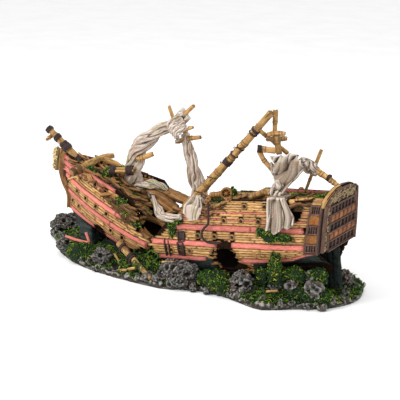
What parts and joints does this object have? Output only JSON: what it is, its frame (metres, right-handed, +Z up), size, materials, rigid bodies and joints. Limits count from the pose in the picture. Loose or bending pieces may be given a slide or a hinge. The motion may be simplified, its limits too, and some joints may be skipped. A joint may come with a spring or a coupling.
{
  "type": "bubbling ornament",
  "caption": "Cast resin wreck of an old sailing ship, broken in two on a mossy rock base, with a pull-out air insert that bubbles through the broken hull.",
  "frame": {"origin": "middle of the overall box's underside, on the surface that the base stands on", "axes": "+X from the bow to the stern, +Y to the ship's starboard side, +Z up"},
  "size_m": [0.442, 0.154, 0.2006],
  "materials": {
    "hull_plank": "satin",
    "red_wale": "satin",
    "spar_timber": "satin",
    "dark_timber": "matte",
    "bilge": "matte",
    "rock": "matte",
    "moss": "matte",
    "sea_bed": "matte",
    "cast_cloth": "matte",
    "gilding": "satin",
    "stern_panel": "satin",
    "air_stone": "matte",
    "clear_tube": "gloss"
  },
  "bodies": {
    "body": {"bow_hull_shell": "hull_plank", "bow_upper_wale": "red_wale", "bow_middle_wale": "red_wale", "bow_lower_wale": "red_wale", "bow_deck": "spar_timber", "stem_post": "dark_timber", "figurehead_scroll": "gilding", "bowsprit": "spar_timber", "bowsprit_yard": "spar_timber", "cathead_log": "dark_timber", "stern_hull_shell": "hull_plank", "stern_port_upper_wale": "red_wale", "stern_port_middle_wale": "red_wale", "stern_port_lower_wale": "red_wale", "stern_starboard_upper_wale": "red_wale", "stern_starboard_middle_wale": "red_wale", "waist_deck": "spar_timber", "quarter_deck": "spar_timber", "transom": "stern_panel", "transom_crown_carving": "gilding", "port_quarter_gallery": "stern_panel", "starboard_quarter_gallery": "stern_panel", "side_drape": "cast_cloth", "base_casting": "sea_bed", "bow_end_rock": "rock", "bow_side_rock": "rock", "pinnacle_rock": "rock", "midship_rock": "rock", "stern_side_rock": "rock", "stern_end_rock": "rock", "starboard_rock": "rock", "arch_rock": "rock", "loose_deck_slab": "spar_timber", "bow_cradle": "bilge", "stern_cradle": "bilge", "rudder": "bilge", "fallen_mast": "spar_timber", "bow_moss_bank": "moss", "midship_moss_bank": "moss", "quarter_moss_bank": "moss", "stern_moss_bank": "moss", "starboard_moss_bank": "moss", "main_mast": "spar_timber", "wrapped_fore_mast": "cast_cloth", "wrapped_prop_mast": "cast_cloth", "fore_top_stick": "spar_timber", "fore_upper_yard": "spar_timber", "fore_lower_yard": "spar_timber", "main_topmast": "spar_timber", "main_upper_yard": "spar_timber", "main_lower_yard": "spar_timber", "diagonal_spar": "spar_timber", "boom": "spar_timber", "mizzen_pole": "spar_timber", "main_sail": "cast_cloth", "fore_deck_cloth": "cast_cloth", "air_stone_sleeve": "bilge"},
    "air_insert": {"air_stone": "air_stone", "air_tube": "clear_tube", "air_inlet_barb": "clear_tube"}
  },
  "joints": [
    {"name": "air_insert_slide", "type": "slide", "parent": "body", "child": "air_insert", "axis": [0, 1, 0], "range_m": [0, 0.045]}
  ]
}
